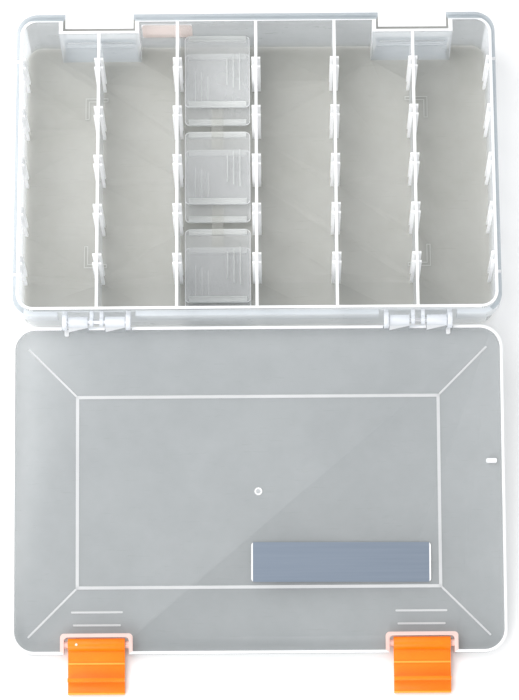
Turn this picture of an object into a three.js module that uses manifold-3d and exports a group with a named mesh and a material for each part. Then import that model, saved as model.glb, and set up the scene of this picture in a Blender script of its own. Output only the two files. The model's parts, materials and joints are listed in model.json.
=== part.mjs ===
// Flat utility tackle box: a clear tray with six long columns, a hinged lid that lies open
// behind it, two snap latches on the lid and a taped pack of six loose dividers.
// Millimetres. X runs along the box, +Y from the hinges to the latch side, +Z up.
// The origin is the centre of the tray's flat underside.
import * as THREE from 'three';
import { mergeVertices } from 'three/addons/utils/BufferGeometryUtils.js';
import Module from 'manifold-3d';

const wasm = await Module();
wasm.setup();

// ---------------------------------------------------------------- driving sizes
// tray
const box_length = 275.4;          // outside of the side walls
const box_width = 177.8;           // outside of the front and rear walls
const rim_height = 41.2;           // underside to the top of the walls
const wall = 1.6;
const floor_thickness = 1.6;
const corner_radius = 10;
const front_draft = 0.4;           // the front wall leans in by this at the underside
const rear_draft = 2.3;
const bottom_round = 2.4;          // outside, where the walls meet the floor
// columns and divider slots
const columns = 6;
const rib = 1.7;
const end_column_short = 0.55;     // the two end columns are this much narrower
const slot_rows = 5;
const slot_pitch = 30.03;
const slot_channel = 4.2;          // gap between the two fins of a slot
const fin = 1.2;
const fin_reach = 1.75;            // out of a rib's face
const fin_drop = 0.8;              // fin tops below the rib tops
const grid_shift = 1.7;            // the slot rows sit this far towards the latches
// rim flange that carries the lid
const flange_out_side = 2.2;
const flange_out_front = 4.9;
const flange_out_rear = 2.6;
const flange_thickness = 1.5;
const flange_drop = 4.0;           // flange top below the rim
const flange_step = 0.4;           // the front and rear shelves lie this far below the rest
const flange_lip = 1.2;
const flange_lip_depth = 8.0;
// latch recesses in the front wall
const recess_width = 42.4;
const recess_depth = 7.3;          // at the rim
const recess_lean = 2.3;           // deeper by this at the underside
const recess_side_wall = 2.2;
const ledge_back = 3.0;            // flange inside a recess, along its back wall
const ledge_side = 1.2;
const catch_below_rim = 19.6;      // underside of the catch below the rim
const catch_thickness = 1.6;
const catch_reach = 2.4;           // beyond the recess wall's top edge
const catch_width = 41;
// stacking feet under the tray
const foot_height = 0.8;
const foot_width = 2.3;
const foot_arm = 13.4;
// hinges
const hinge_below_flange = 1.2;    // axis below the flange's top
const hinge_behind = 6.1;          // axis behind the rear wall
const pin_radius = 1.25;
const pin_clearance = 0.3;
const centre_rib_from = 1.8;       // two centre ribs of each hinge, from its middle
const centre_rib_to = 3.9;
const centre_rib_radius = 2.6;
const knuckle_from = 5.0;
const knuckle_length = 11.2;
const knuckle_radius = 3.15;
const cheek_gap = 0.6;             // knuckle to outer cheek
const cheek = 2.6;
const cheek_radius = 4.6;
// lid
const lid_overhang_side = 2.0;
const lid_front_out = 4.8;
const lid_rear_out = 3.4;
const lid_height = 7.0;            // skirt's edge to the outer face
const lid_panel = 1.6;
const skirt = 1.6;
const lid_gap = 0.3;               // skirt's edge to the flange
const lid_corner_radius = 13.2;
const ridge_width = 1.8;
const ridge_height = 0.8;
const ridge_from_side = 34.9;      // centre lines of the stacking ridge, in from the tray's walls
const ridge_from_front = 34.6;
const nest_clearance = 0.45;       // feet inside the ridge of the box below
const crease_width = 0.9;
const crease_height = 0.5;
const crease_run = 27.6;           // along X and along Y, from a ridge corner outwards
const grip_ridge_from_edge = [16.6, 23.9];
const grip_ridge_length = [26, 28.2];
const gate_radius = 2.2;
const gate_height = 0.35;
// notches in the lid and the latches that pivot there
const notch_width = 36.6;
const notch_wall = 2.1;
const notch_gap = 0.4;             // notch wall to the tray's recess wall
const rod_radius = 2.0;
const rod_behind_edge = 5.5;       // rod axis behind the lid's front edge
const rod_above_skirt = 2.7;
const latch_width = 32;
const latch_length = 28;           // rod axis to the tip
const latch_plate = 2.2;
const latch_plate_inner = -0.6;    // inner face from the rod axis
const barrel_wall = 1.5;
const barrel_clearance = 0.3;
const barrel_mouth = 2.6;
const hook_thickness = 2.2;
const hook_bite = 1.7;             // overlap with the catch
const hook_gap = 0.3;
const latch_rib = 0.5;
const latch_rib_at = 10.7;
const latch_stop = 90;             // degrees from open to shut
const table_gap = 0.3;             // latch tips above the table with the lid open
// dividers
const divider_clearance = 0.25;    // at each end of a divider in its slots
const divider_panel = 1.2;
const divider_below_rim = 2.9;     // a divider is this much lower than the tray
const divider_side_gap = 1.1;      // least gap to the fins when it lies flat in a column
const divider_corner = 2.6;
const bead_width = 3.3;
const bead_thickness = 3.3;
const bead_short = 4.3;            // a bead is this much shorter than the divider is high
const mark_width = 0.6;
const mark_height = 0.25;
const mark_offsets = [5.7, 9.4, 13.1];
const mark_half_length = [8.2, 10.1, 11.35];
// divider pack: three pairs, each pair a lower and an upper divider
const pairs = 3;
const pair_shift = 10.35;
const layer_pitch = 2.7;
const pack_column = 2;             // third column from the left, counted from 0
const pack_end_gap = 0.4;
const pack_slack = 0.32;           // free length of the pack in its column, beyond the draft
const pack_floor_gap = 0.3;
const pack_front_rise = 15.6;      // front end of the pack above its rear end
const tape_width = 6.9;
const tape_thickness = 0.25;
const tape_gap = 0.3;
// labels
const label_thickness = 0.3;
const label_gap = 0.3;
const lid_label = { length: 102, width: 22.8, x: 46.6, from_edge: 51.5, turn: 0.3, radius: 2 };
const front_label = { length: 29.6, height: 19.6, from_recess: 3.37, below_rim: 20.4, radius: 3 };

// ---------------------------------------------------------------- derived places
const half_length = box_length / 2;
const half_width = box_width / 2;
const inner_half_length = half_length - wall;
const column_pitch = (2 * inner_half_length + rib + 2 * end_column_short) / columns;
const rib_top = rim_height;
const fin_top = rib_top - fin_drop;
const flange_top = rim_height - flange_drop;
const hinge_z = flange_top - hinge_below_flange;
const catch_height = rim_height - catch_below_rim;
const flange_half_length = half_length + flange_out_side;
const flange_front = half_width + flange_out_front;
const flange_rear = -half_width - flange_out_rear;
const station_x = 2 * column_pitch;                 // hinges and latches line up with ribs 1 and 5
const recess_back_top = half_width - recess_depth;  // outer face of the recess wall at the rim
const recess_back_bottom = recess_back_top - recess_lean;
const hinge_y = -half_width - hinge_behind;
const ridge_half_length = half_length - ridge_from_side;
const ridge_half_width = half_width - ridge_from_front;
const lid_half_length = half_length + lid_overhang_side;
const skirt_edge = flange_top + lid_gap;
const lid_top = skirt_edge + lid_height;
const rod_z = skirt_edge + rod_above_skirt;
const cheek_from = knuckle_from + knuckle_length + cheek_gap;
const cheek_to = cheek_from + cheek;
const pin_bore = pin_radius + pin_clearance;
const barrel_bore = rod_radius + barrel_clearance;
const barrel_radius = barrel_bore + barrel_wall;
// lid sizes measured from the hinge axis: v towards the latches, h up, both with the lid shut
const lid_v_front = half_width + lid_front_out - hinge_y;
const lid_v_rear = -half_width - lid_rear_out - hinge_y;
const lid_h_edge = skirt_edge - hinge_z;
const lid_h_top = lid_top - hinge_z;
const lid_h_inner = lid_h_top - lid_panel;
const rod_v = lid_v_front - rod_behind_edge;
const rod_h = rod_z - hinge_z;
const notch_back_v = recess_back_top + notch_gap + notch_wall - hinge_y;
const grid_v = grid_shift - hinge_y;
// the open lid leans down until its latch tips are table_gap above the table
const tip_v = rod_v + latch_length;
const tip_h = rod_h + latch_plate_inner + latch_plate;
const drop_to_table = hinge_z + foot_height - table_gap;
const lean_of = (v, h) => Math.asin(drop_to_table / Math.hypot(v, h)) - Math.atan2(h, v);
const lid_lean = Math.min(lean_of(tip_v, tip_h), lean_of(lid_v_front, lid_h_top));
// dividers: as long as a column is wide, and low enough to lie flat between the fins
const divider_length = column_pitch - rib - 2 * divider_clearance;
const divider_height = Math.min(rim_height - divider_below_rim,
  column_pitch - rib - 2 * (fin_reach + divider_side_gap));
const bead_length = divider_height - bead_short;
// the pack reaches from the rear wall to the front wall
const pack_rear = -half_width + rear_draft + wall + pack_end_gap;
const pack_run = box_width - 2 * wall - rear_draft - pack_slack;
const pair_pitch = (pack_run - pair_shift - divider_length) / (pairs - 1);
const front_label_x = recess_width / 2 + front_label.from_recess + front_label.length / 2 - station_x;

// ---------------------------------------------------------------- helpers
const ARC_SEGMENTS = 8;

function solid(geometry) {
  const bare = geometry.clone();
  bare.deleteAttribute('normal');
  bare.deleteAttribute('uv');
  const merged = mergeVertices(bare, 1e-4);
  return new wasm.Manifold(new wasm.Mesh({
    numProp: 3,
    vertProperties: new Float32Array(merged.attributes.position.array),
    triVerts: new Uint32Array(merged.index.array),
  }));
}

function geometryOf(body) {
  const mesh = body.getMesh();
  const geometry = new THREE.BufferGeometry();
  geometry.setAttribute('position', new THREE.BufferAttribute(new Float32Array(mesh.vertProperties), 3));
  geometry.setIndex(new THREE.BufferAttribute(new Uint32Array(mesh.triVerts), 1));
  geometry.computeVertexNormals();
  return geometry;
}

const join = (bodies) => bodies.reduce((sum, body) => sum.add(body));
const cut = (body, tools) => tools.reduce((rest, tool) => rest.subtract(tool), body);

function block(x0, x1, y0, y1, z0, z1) {
  const geometry = new THREE.BoxGeometry(x1 - x0, y1 - y0, z1 - z0);
  geometry.translate((x0 + x1) / 2, (y0 + y1) / 2, (z0 + z1) / 2);
  return solid(geometry);
}

function roundedRect(x0, x1, y0, y1, radius) {
  const r = Math.min(radius, (x1 - x0) / 2 - 0.01, (y1 - y0) / 2 - 0.01);
  const shape = new THREE.Shape();
  shape.absarc(x1 - r, y0 + r, r, -Math.PI / 2, 0);
  shape.absarc(x1 - r, y1 - r, r, 0, Math.PI / 2);
  shape.absarc(x0 + r, y1 - r, r, Math.PI / 2, Math.PI);
  shape.absarc(x0 + r, y0 + r, r, Math.PI, 1.5 * Math.PI);
  return shape;
}

// plan outline raised from z0 to z1
function raise(shape, z0, z1) {
  const options = { depth: z1 - z0, bevelEnabled: false, curveSegments: ARC_SEGMENTS };
  const geometry = new THREE.ExtrudeGeometry(shape, options);
  geometry.translate(0, 0, z0);
  return solid(geometry);
}

// closed body through a stack of plan outlines, all convex and with the same number of points
function loft(levels) {
  const rings = levels.map(([shape, z]) => shape.getPoints(ARC_SEGMENTS)
    .filter((point, index, all) => index === 0 || point.distanceTo(all[index - 1]) > 1e-6)
    .map((point) => [point.x, point.y, z]));
  const count = rings[0].length;
  const top = (rings.length - 1) * count;
  const faces = [];
  for (let i = 0; i < count; i += 1) {
    const next = (i + 1) % count;
    for (let ring = 0; ring < top; ring += count) {
      faces.push(ring + i, ring + next, ring + count + next);
      faces.push(ring + i, ring + count + next, ring + count + i);
    }
    if (i > 1) faces.push(0, i, i - 1, top, top + i - 1, top + i);
  }
  const geometry = new THREE.BufferGeometry();
  geometry.setAttribute('position', new THREE.Float32BufferAttribute(rings.flat(2), 3));
  geometry.setIndex(faces);
  return solid(geometry);
}

// levels of a loft from z0 to z1 whose bottom edge has a round of the given radius
function roundedLevels(outline, inset, z0, z1, radius) {
  const steps = [0, 1, 2, 3].map((step) => (step / 3) * (Math.PI / 2));
  const bottom = steps.map((turn) => {
    const z = z0 + radius * (1 - Math.cos(turn));
    return [outline(inset + radius * (1 - Math.sin(turn)), z), z];
  });
  return [...bottom, [outline(inset, z1), z1]];
}

// side outline in Y and Z, run along X
const ALONG_X = new THREE.Matrix4().makeBasis(
  new THREE.Vector3(0, 1, 0), new THREE.Vector3(0, 0, 1), new THREE.Vector3(1, 0, 0));
function runAlongX(shape, x0, x1) {
  const options = { depth: x1 - x0, bevelEnabled: false, curveSegments: 2 * ARC_SEGMENTS };
  const geometry = new THREE.ExtrudeGeometry(shape, options);
  geometry.applyMatrix4(ALONG_X);
  geometry.translate(x0, 0, 0);
  return solid(geometry);
}

const polygon = (points) => new THREE.Shape(points.map(([a, b]) => new THREE.Vector2(a, b)));

function rodAlongX(radius, x0, x1, y, z, sides = 24) {
  const geometry = new THREE.CylinderGeometry(radius, radius, x1 - x0, sides);
  geometry.rotateZ(Math.PI / 2);
  geometry.translate((x0 + x1) / 2, y, z);
  return solid(geometry);
}

// straight ridge between two plan points
function ridge(from, to, width, z0, z1) {
  const run = new THREE.Vector2(to[0] - from[0], to[1] - from[1]);
  const geometry = new THREE.BoxGeometry(run.length(), width, z1 - z0);
  geometry.rotateZ(run.angle());
  geometry.translate((from[0] + to[0]) / 2, (from[1] + to[1]) / 2, (z0 + z1) / 2);
  return solid(geometry);
}

const finishes = {
  clear: { color: 0xc3ccd0, roughness: 0.35, metalness: 0 },
  orange: { color: 0xff8c28, roughness: 0.4, metalness: 0 },
  steel: { color: 0xc8ccd2, roughness: 0.3, metalness: 1 },
  tape: { color: 0xd8dcdc, roughness: 0.3, metalness: 0 },
  silver: { color: 0x93a0b0, roughness: 0.35, metalness: 0.4 },
  pink: { color: 0xe6d7d4, roughness: 0.7, metalness: 0 },
};

function piece(name, body, finish) {
  const mesh = new THREE.Mesh(geometryOf(body), new THREE.MeshStandardMaterial(finishes[finish]));
  mesh.name = name;
  return mesh;
}

// ---------------------------------------------------------------- tray
const sides = [-1, 1];

function recessProfile(grow) {
  const back = (z) => recess_back_top - (recess_lean * (rim_height - z)) / rim_height - grow;
  const beyond = half_width + flange_out_front + 10;
  return polygon([
    [back(-2), -2], [beyond, -2], [beyond, rim_height + 2], [back(rim_height + 2), rim_height + 2],
  ]);
}

function recessVolume(side, grow_sides, grow_back) {
  const reach = recess_width / 2 + grow_sides;
  return runAlongX(recessProfile(grow_back), side * station_x - reach, side * station_x + reach);
}

function slotFins() {
  const fins = [];
  const rib_half = rib / 2;
  for (let row = 0; row < slot_rows; row += 1) {
    const y = grid_shift + (row - (slot_rows - 1) / 2) * slot_pitch;
    for (const edge of sides) {
      const y0 = y + edge * (slot_channel / 2 + fin / 2) - fin / 2;
      for (let line = 1; line < columns; line += 1) {
        const x = (line - columns / 2) * column_pitch;
        const reach = rib_half + fin_reach;
        fins.push(block(x - reach, x + reach, y0, y0 + fin, floor_thickness / 2, fin_top));
      }
      for (const side of sides) {
        const outer = side * (inner_half_length + wall / 2);
        const inner = side * (inner_half_length - fin_reach);
        fins.push(block(Math.min(outer, inner), Math.max(outer, inner), y0, y0 + fin, floor_thickness / 2, fin_top));
      }
    }
  }
  return fins;
}

function ribs() {
  const lines = [];
  for (let line = 1; line < columns; line += 1) {
    const x = (line - columns / 2) * column_pitch;
    lines.push(block(x - rib / 2, x + rib / 2, -half_width + wall / 2, half_width - wall / 2,
      floor_thickness / 2, rib_top));
  }
  return lines;
}

function stackingFeet() {
  const x = ridge_half_length - ridge_width / 2 - nest_clearance;
  const y = ridge_half_width - ridge_width / 2 - nest_clearance;
  const feet = [];
  for (const sx of sides) {
    for (const sy of sides) {
      const corner_x = sx * x;
      const corner_y = grid_shift + sy * y;
      const arm_x = corner_x - sx * foot_arm;
      const arm_y = corner_y - sy * foot_arm;
      const thick_x = corner_x - sx * foot_width;
      const thick_y = corner_y - sy * foot_width;
      const span = (a, b) => [Math.min(a, b), Math.max(a, b)];
      feet.push(block(...span(arm_x, corner_x), ...span(thick_y, corner_y), -foot_height, floor_thickness / 2));
      feet.push(block(...span(thick_x, corner_x), ...span(arm_y, corner_y), -foot_height, floor_thickness / 2));
    }
  }
  return feet;
}

// plate that stands off the rear wall, with a round end about the hinge axis
function hingePlate(x0, x1, radius) {
  const top = Math.min(hinge_z + radius, flange_top);
  const shape = new THREE.Shape();
  shape.moveTo(-half_width + wall, top);
  shape.lineTo(hinge_y + Math.sqrt(radius ** 2 - (top - hinge_z) ** 2), top);
  const start = Math.asin((top - hinge_z) / radius);
  shape.absarc(hinge_y, hinge_z, radius, start, 1.5 * Math.PI);
  shape.lineTo(-half_width + wall, hinge_z - radius - hinge_behind);
  return runAlongX(shape, x0, x1);
}

function hingeMounts(side) {
  const x = side * station_x;
  return sides.flatMap((edge) => {
    const span = (a, b) => [x + Math.min(edge * a, edge * b), x + Math.max(edge * a, edge * b)];
    return [
      hingePlate(...span(centre_rib_from, centre_rib_to), centre_rib_radius),
      hingePlate(...span(cheek_from, cheek_to), cheek_radius),
    ];
  });
}

function rimFlange(hollow) {
  const outline = (inset) => roundedRect(
    -flange_half_length + inset, flange_half_length - inset,
    flange_rear + inset, flange_front - inset,
    corner_radius + flange_out_side - inset);
  const plate = raise(outline(0), flange_top - flange_thickness, flange_top);
  const step_blank = (y0, y1) => block(-flange_half_length, flange_half_length, y0, y1,
    flange_top - flange_step, flange_top + 1);
  const steps = [
    step_blank(half_width + flange_out_side, flange_front + 1),
    step_blank(flange_rear - 1, -half_width - flange_out_side),
  ];
  const lip_bottom = flange_top - flange_thickness - flange_lip_depth;
  const lip_blank = raise(outline(0), lip_bottom, flange_top);
  const lip = lip_blank.subtract(raise(outline(flange_lip), lip_bottom - 1, flange_top + 1));
  const hinge_gap = cheek_to + 2.9;
  const lip_openings = sides.map((side) => recessVolume(side, 0, 0));
  const openings = sides.flatMap((side) => {
    const x = side * station_x;
    const reach = recess_width / 2 - ledge_side;
    return [
      block(x - reach, x + reach, recess_back_top + ledge_back, flange_front + 5, 0, rim_height),
      block(x - hinge_gap, x + hinge_gap, flange_rear - 5, -half_width, 0, rim_height),
    ];
  });
  return cut(plate.add(cut(lip, lip_openings)), [hollow, ...steps, ...openings]);
}

function catchRidge(side) {
  const x = side * station_x;
  return block(x - catch_width / 2, x + catch_width / 2,
    recess_back_bottom - wall / 2, recess_back_top + catch_reach,
    catch_height, catch_height + catch_thickness);
}

function baseTray() {
  const plan = (inset, z) => {
    const lean = (rim_height - z) / rim_height;
    return roundedRect(
      -half_length + inset, half_length - inset,
      -half_width + inset + rear_draft * lean, half_width - inset - front_draft * lean,
      corner_radius - inset);
  };
  const recesses = sides.map((side) => recessVolume(side, 0, 0));
  const envelope = cut(loft(roundedLevels(plan, 0, 0, rim_height, bottom_round)), recesses);
  const recess_blocks = sides.map((side) => recessVolume(side, recess_side_wall, wall));
  const hollow_blank = loft(roundedLevels(plan, wall, floor_thickness, rim_height + 5, bottom_round - wall));
  const hollow = cut(hollow_blank, recess_blocks);
  const shell = envelope.subtract(hollow);
  // ribs and fins end half way into the walls that they join
  const core_blank = loft(roundedLevels(plan, wall / 2, floor_thickness / 2, rim_height, bottom_round - wall / 2));
  const core = cut(core_blank, sides.map((side) => recessVolume(side, recess_side_wall / 2, wall / 2)));
  const inside = join([...ribs(), ...slotFins()]).intersect(core);
  const pin_holes = sides.map((side) => rodAlongX(pin_bore,
    side * station_x - cheek_to - 1, side * station_x + cheek_to + 1, hinge_y, hinge_z));
  const tray = join([
    shell, inside, rimFlange(hollow), ...stackingFeet(),
    ...sides.map(catchRidge), ...sides.flatMap(hingeMounts),
  ]);
  return cut(tray, pin_holes);
}

// ---------------------------------------------------------------- lid, shut, about the hinge axis
function lidKnuckle(x0, x1) {
  const web = polygon([
    [0, -knuckle_radius * 0.6], [knuckle_radius, 0], [lid_v_rear + skirt + 0.7, lid_h_edge + 3.4],
    [lid_v_rear + skirt + 0.7, lid_h_inner + lid_panel / 2], [lid_v_rear, lid_h_inner + lid_panel / 2],
    [-knuckle_radius * 0.75, knuckle_radius * 0.66],
  ]);
  return runAlongX(web, x0, x1).add(rodAlongX(knuckle_radius, x0, x1, 0, 0, 28));
}

function lidRidges() {
  const z0 = lid_h_top - lid_panel / 2;
  const z1 = lid_h_top + ridge_height;
  const near = grid_v - ridge_half_width;
  const far = grid_v + ridge_half_width;
  const end = ridge_half_length + ridge_width / 2;
  const bars = [];
  for (const v of [near, far]) {
    bars.push(ridge([-end, v], [end, v], ridge_width, z0, z1));
    for (const side of sides) {
      const away = v === near ? -1 : 1;
      const corner = [side * ridge_half_length, v];
      const tip = [corner[0] + side * crease_run, corner[1] + away * crease_run];
      bars.push(ridge(corner, tip, crease_width, z0, lid_h_top + crease_height));
    }
  }
  for (const side of sides) {
    bars.push(ridge([side * ridge_half_length, near], [side * ridge_half_length, far], ridge_width, z0, z1));
    grip_ridge_from_edge.forEach((from_edge, index) => {
      const v = lid_v_front - from_edge;
      const half = grip_ridge_length[index] / 2;
      bars.push(ridge([side * station_x - half, v], [side * station_x + half, v],
        crease_width, z0, lid_h_top + crease_height));
    });
  }
  return bars;
}

function lidBody() {
  const plan = (inset) => roundedRect(
    -lid_half_length + inset, lid_half_length - inset, lid_v_rear + inset, lid_v_front - inset,
    lid_corner_radius - inset);
  const notch = (side, half, back) => raise(roundedRect(
    side * station_x - half, side * station_x + half, back, lid_v_front + 20, 2.2),
    lid_h_edge - 1, lid_h_top + 3);
  const notch_half = notch_width / 2;
  const outer = raise(plan(0), lid_h_edge, lid_h_top);
  const hollow_plan = raise(plan(skirt), lid_h_edge - 1, lid_h_inner);
  const notch_walls = sides.map((side) => notch(side, notch_half + notch_wall, notch_back_v - notch_wall));
  const hollow = cut(hollow_plan, notch_walls);
  const hinge_windows = sides.flatMap((side) => sides.map((edge) => {
    const near = knuckle_from - 0.4;
    const far = cheek_to + 0.6;
    const x = [side * station_x + edge * near, side * station_x + edge * far].sort((a, b) => a - b);
    return block(x[0], x[1], lid_v_rear - 2, lid_v_rear + skirt + 0.3, lid_h_edge - 1, lid_h_inner - 0.6);
  }));
  const shell = cut(outer, [hollow, ...hinge_windows, ...sides.map((side) => notch(side, notch_half, notch_back_v))]);
  const rods = sides.map((side) => rodAlongX(rod_radius,
    side * station_x - notch_half - notch_wall / 2, side * station_x + notch_half + notch_wall / 2,
    rod_v, rod_h, 20));
  const knuckles = sides.flatMap((side) => sides.map((edge) => {
    const a = side * station_x + edge * knuckle_from;
    const b = side * station_x + edge * (knuckle_from + knuckle_length);
    return lidKnuckle(Math.min(a, b), Math.max(a, b));
  }));
  const gate_geometry = new THREE.CylinderGeometry(gate_radius, gate_radius, gate_height + lid_panel / 2, 20);
  gate_geometry.rotateX(Math.PI / 2);
  gate_geometry.translate(0, grid_v, lid_h_top + gate_height / 2 - lid_panel / 4);
  const blank = join([shell, ...rods, ...knuckles, ...lidRidges(), solid(gate_geometry)]);
  const bore = rodAlongX(pin_bore, -half_length, half_length, 0, 0);
  return blank.subtract(bore);
}

// ---------------------------------------------------------------- latch, shut, about its rod
function latchBody() {
  const half = latch_width / 2;
  const hook_top = -(rod_z - catch_height) - hook_gap;
  const catch_edge = recess_back_top + catch_reach - (hinge_y + rod_v);
  const outer = latch_plate_inner + latch_plate;
  const plate = block(-half, half, latch_plate_inner, outer, -latch_length, 0);
  const hook = runAlongX(polygon([
    [latch_plate_inner + 0.5, hook_top], [catch_edge - hook_bite, hook_top],
    [catch_edge - hook_bite, hook_top - hook_thickness * 0.6],
    [catch_edge - hook_bite * 0.4, hook_top - hook_thickness],
    [latch_plate_inner + 0.5, hook_top - hook_thickness],
  ]), -half, half);
  const stiffener = block(-half, half, latch_plate_inner - latch_rib, latch_plate_inner + 0.5,
    -latch_rib_at - 0.5, -latch_rib_at + 0.5);
  const tip_bead = rodAlongX(latch_plate * 0.62, -half, half,
    (latch_plate_inner + outer) / 2, -latch_length + latch_plate * 0.62, 16);
  const barrel = rodAlongX(barrel_radius, -half, half, 0, 0, 28);
  const blank = join([plate, hook, stiffener, tip_bead, barrel]);
  const bore = rodAlongX(barrel_bore, -half - 1, half + 1, 0, 0);
  const mouth = block(-half - 1, half + 1, -barrel_mouth / 2, barrel_mouth / 2, 0, barrel_radius + 1);
  return cut(blank, [bore, mouth]);
}

// ---------------------------------------------------------------- divider, lying flat, middle at the origin
function dividerBody() {
  const half = divider_length / 2;
  const panel = raise(roundedRect(-divider_height / 2, divider_height / 2, -half, half, divider_corner),
    -divider_panel / 2, divider_panel / 2);
  const beads = sides.map((end) => {
    const y0 = end > 0 ? half - bead_width : -half;
    return block(-bead_length / 2, bead_length / 2, y0, y0 + bead_width, -bead_thickness / 2, bead_thickness / 2);
  });
  const marks = mark_offsets.map((x, index) => {
    const reach = mark_half_length[index];
    return block(x - mark_width / 2, x + mark_width / 2, -reach, reach, 0, divider_panel / 2 + mark_height);
  });
  return join([panel, ...beads, ...marks]);
}

// clear tape from the upper divider of one pair to the lower divider of the pair in front
function tapeBody() {
  const lower = bead_thickness / 2;
  const upper = lower + layer_pitch;
  const lower_panel = lower + divider_panel / 2 + tape_gap;
  const upper_panel = upper + divider_panel / 2 + tape_gap;
  const lower_bead = lower + bead_thickness / 2 + tape_gap;
  const upper_bead = upper + bead_thickness / 2 + tape_gap;
  const lower_start = pair_pitch;                                // rear end of the front pair's lower divider
  const upper_end = pair_shift + divider_length;                 // front end of the rear pair's upper divider
  const slope = 0.8;
  const under = [
    [pair_pitch + pair_shift - 0.5, lower_panel],
    [lower_start + bead_width + slope, lower_panel],
    [lower_start + bead_width, lower_bead],
    [lower_start, lower_bead],
    [upper_end, upper_bead],
    [upper_end - bead_width, upper_bead],
    [upper_end - bead_width - slope, upper_panel],
    [divider_length, upper_panel],
  ];
  const over = under.map(([s, n]) => [s, n + tape_thickness]).reverse();
  return runAlongX(polygon([...under, ...over]), -tape_width / 2, tape_width / 2);
}

// ---------------------------------------------------------------- assembly
const box = new THREE.Group();
box.add(piece('base_tray', baseTray(), 'clear'));

const pin = (side) => rodAlongX(pin_radius, side * station_x - cheek_to, side * station_x + cheek_to, hinge_y, hinge_z);
box.add(piece('hinge_pin_left', pin(-1), 'steel'));
box.add(piece('hinge_pin_right', pin(1), 'steel'));

const front_label_body = raise(roundedRect(
  front_label_x - front_label.length / 2, front_label_x + front_label.length / 2,
  -front_label.height / 2, front_label.height / 2, front_label.radius), 0, label_thickness);
const front_label_mesh = piece('front_label', front_label_body, 'pink');
front_label_mesh.rotation.x = Math.PI / 2;
front_label_mesh.position.set(0, half_width + label_gap + label_thickness, rim_height - front_label.below_rim);
box.add(front_label_mesh);

const lid_group = new THREE.Group();
lid_group.position.set(0, hinge_y, hinge_z);
lid_group.rotation.x = Math.PI + lid_lean;
lid_group.add(piece('lid', lidBody(), 'clear'));

const label_half = [lid_label.length / 2, lid_label.width / 2];
const lid_label_body = raise(
  roundedRect(-label_half[0], label_half[0], -label_half[1], label_half[1], lid_label.radius), 0, label_thickness);
const lid_label_mesh = piece('lid_label', lid_label_body, 'silver');
lid_label_mesh.position.set(lid_label.x, lid_v_front - lid_label.from_edge, lid_h_inner - label_gap - label_thickness);
lid_label_mesh.rotation.z = THREE.MathUtils.degToRad(lid_label.turn);
lid_group.add(lid_label_mesh);

for (const side of sides) {
  const latch = piece(side < 0 ? 'latch_left' : 'latch_right', latchBody(), 'orange');
  latch.position.set(side * station_x, rod_v, rod_h);
  latch.rotation.x = THREE.MathUtils.degToRad(latch_stop);
  lid_group.add(latch);
}
box.add(lid_group);

const pack = new THREE.Group();
pack.position.set((pack_column + 0.5 - columns / 2) * column_pitch, pack_rear,
  floor_thickness + pack_floor_gap);
pack.rotation.x = Math.asin((pack_front_rise - layer_pitch) / pack_run);
for (let pair = 0; pair < pairs; pair += 1) {
  const rear = (pairs - 1 - pair) * pair_pitch;
  const lower = piece(`divider_${2 * pair + 2}`, dividerBody(), 'clear');
  lower.position.set(0, rear + divider_length / 2, bead_thickness / 2);
  lower.rotation.z = Math.PI;
  const upper = piece(`divider_${2 * pair + 1}`, dividerBody(), 'clear');
  upper.position.set(0, rear + pair_shift + divider_length / 2, bead_thickness / 2 + layer_pitch);
  pack.add(upper, lower);
}
for (const [name, pair] of [['tape_front', 1], ['tape_rear', 0]]) {
  const tape = piece(name, tapeBody(), 'tape');
  tape.position.y = pair * pair_pitch;
  pack.add(tape);
}
box.add(pack);

export default box;
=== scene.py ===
"""Finish of the flat clear tackle box: tray, hinged lid, snap latches and the stored dividers.

Metres, in the part's own frame: X along the box, +Y towards the latch side of the tray, +Z up.
The lid lies open behind the tray, on the -Y side."""
import json
import math

import bmesh
import bpy
from mathutils import Matrix, Vector


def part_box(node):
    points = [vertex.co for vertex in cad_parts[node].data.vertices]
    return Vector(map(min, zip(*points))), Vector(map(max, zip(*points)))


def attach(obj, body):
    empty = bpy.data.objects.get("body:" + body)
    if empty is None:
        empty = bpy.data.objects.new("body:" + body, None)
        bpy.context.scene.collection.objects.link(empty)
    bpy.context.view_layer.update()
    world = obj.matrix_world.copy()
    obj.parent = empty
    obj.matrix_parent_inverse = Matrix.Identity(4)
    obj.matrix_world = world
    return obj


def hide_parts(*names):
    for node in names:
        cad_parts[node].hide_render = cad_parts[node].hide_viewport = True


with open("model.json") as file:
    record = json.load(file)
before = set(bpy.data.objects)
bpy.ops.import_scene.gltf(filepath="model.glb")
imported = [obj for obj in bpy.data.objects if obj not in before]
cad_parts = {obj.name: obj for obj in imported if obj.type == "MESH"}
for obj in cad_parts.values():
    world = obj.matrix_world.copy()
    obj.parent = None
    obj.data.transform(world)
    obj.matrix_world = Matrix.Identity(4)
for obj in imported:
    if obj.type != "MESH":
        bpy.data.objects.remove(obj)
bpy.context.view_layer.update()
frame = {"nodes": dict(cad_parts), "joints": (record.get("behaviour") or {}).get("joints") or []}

MM = 0.001
joints = {joint["name"]: joint for joint in frame["joints"]}

# ---------------------------------------------------------------- places read from the frame
tray_low, tray_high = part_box("base_tray")
rim_z = tray_high.z
foot_z = tray_low.z
hinge = Vector(joints["lid_hinge"]["pos_m"])
lid_lean = math.radians(joints["lid_hinge"]["range_deg"][1] - 180)
pivot_left = Vector(joints["latch_left_pivot"]["pos_m"])
pivot_right = Vector(joints["latch_right_pivot"]["pos_m"])
station_x = pivot_right.x
column_pitch = station_x / 2

LID = Matrix.Translation(hinge) @ Matrix.Rotation(math.pi + lid_lean, 4, "X")


def latch_place(pivot):
    """Frame of a latch as if shut: X along its rod, Y out of the box, -Z to its tip."""
    return Matrix.Translation(pivot) @ Matrix.Rotation(1.5 * math.pi + lid_lean, 4, "X")


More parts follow.
